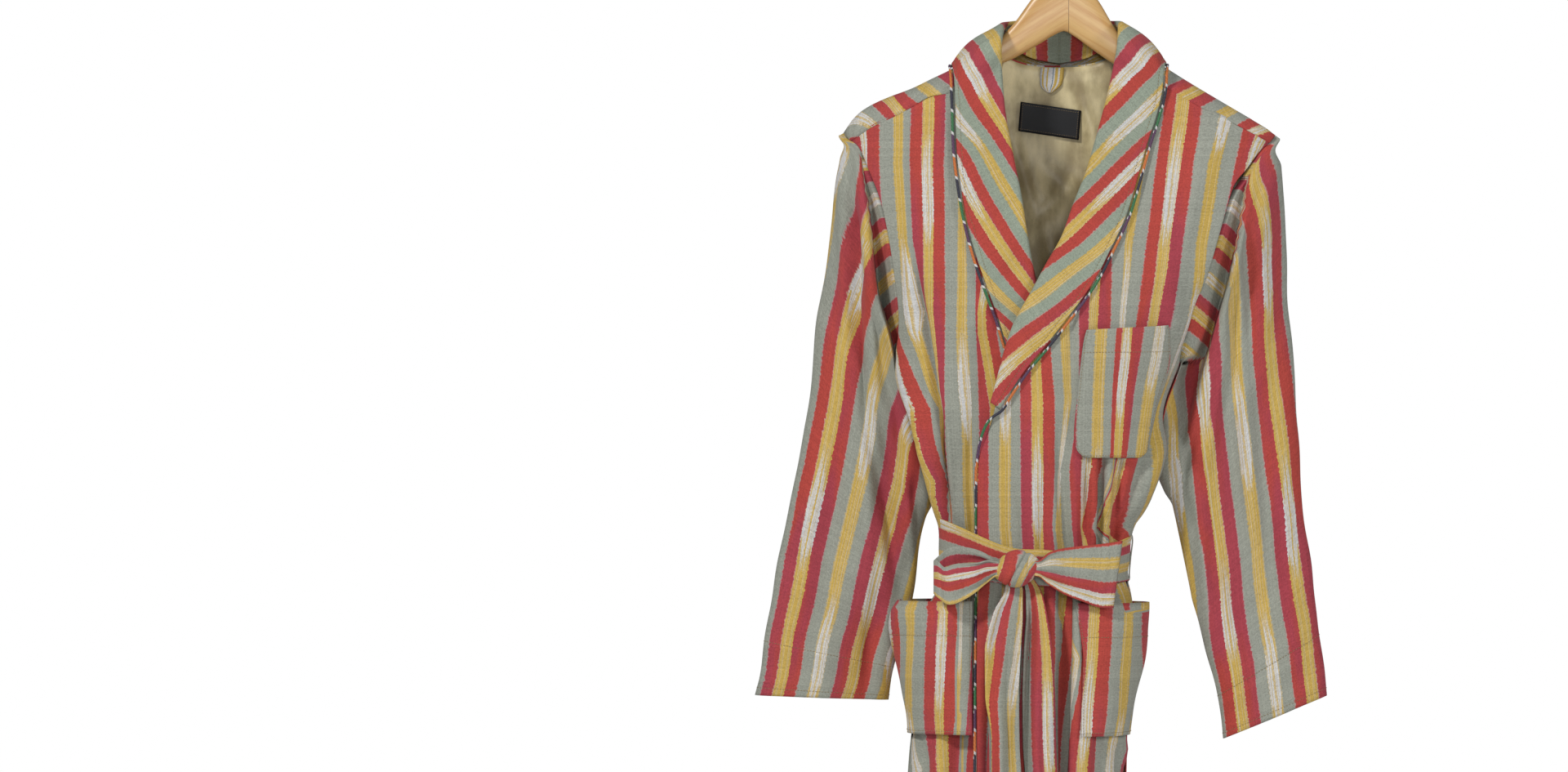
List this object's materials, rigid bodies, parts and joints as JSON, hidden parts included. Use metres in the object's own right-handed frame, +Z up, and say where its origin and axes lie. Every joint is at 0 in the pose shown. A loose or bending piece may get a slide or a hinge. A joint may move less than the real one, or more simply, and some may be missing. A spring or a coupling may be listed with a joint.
{
  "type": "striped robe on a hanger",
  "caption": "Striped shawl-collar robe with piped edges, patch pockets and a belt tied in a bow, hanging on a contoured wooden hanger.",
  "frame": {"origin": "inner top of the hanger's hook, where a rail carries it", "axes": "+Z up, the robe's front faces -Y, the wearer's left is +X"},
  "size_m": [0.6342, 0.2039, 1.3537],
  "materials": {
    "stripe": "striped woven cotton",
    "piping": "twisted cord",
    "lining": "satin",
    "label": "woven",
    "wood": "lacquered",
    "hook": "polished"
  },
  "bodies": {
    "root": {"back": "stripe", "front_left": "stripe", "front_right": "stripe", "sleeve_left": "stripe", "sleeve_right": "stripe", "collar_left": "stripe", "collar_right": "stripe", "piping_left": "piping", "piping_right": "piping", "breast_pocket": "stripe", "hip_pocket_left": "stripe", "hip_pocket_right": "stripe", "belt_band": "stripe", "belt_knot": "stripe", "bow_loop_left": "stripe", "bow_loop_right": "stripe", "belt_tail_left": "stripe", "belt_tail_right": "stripe", "belt_carrier": "stripe", "lining": "lining", "hanging_tab": "stripe", "label": "label", "hanger_wood": "wood", "hanger_hook": "hook"}
  },
  "joints": []
}
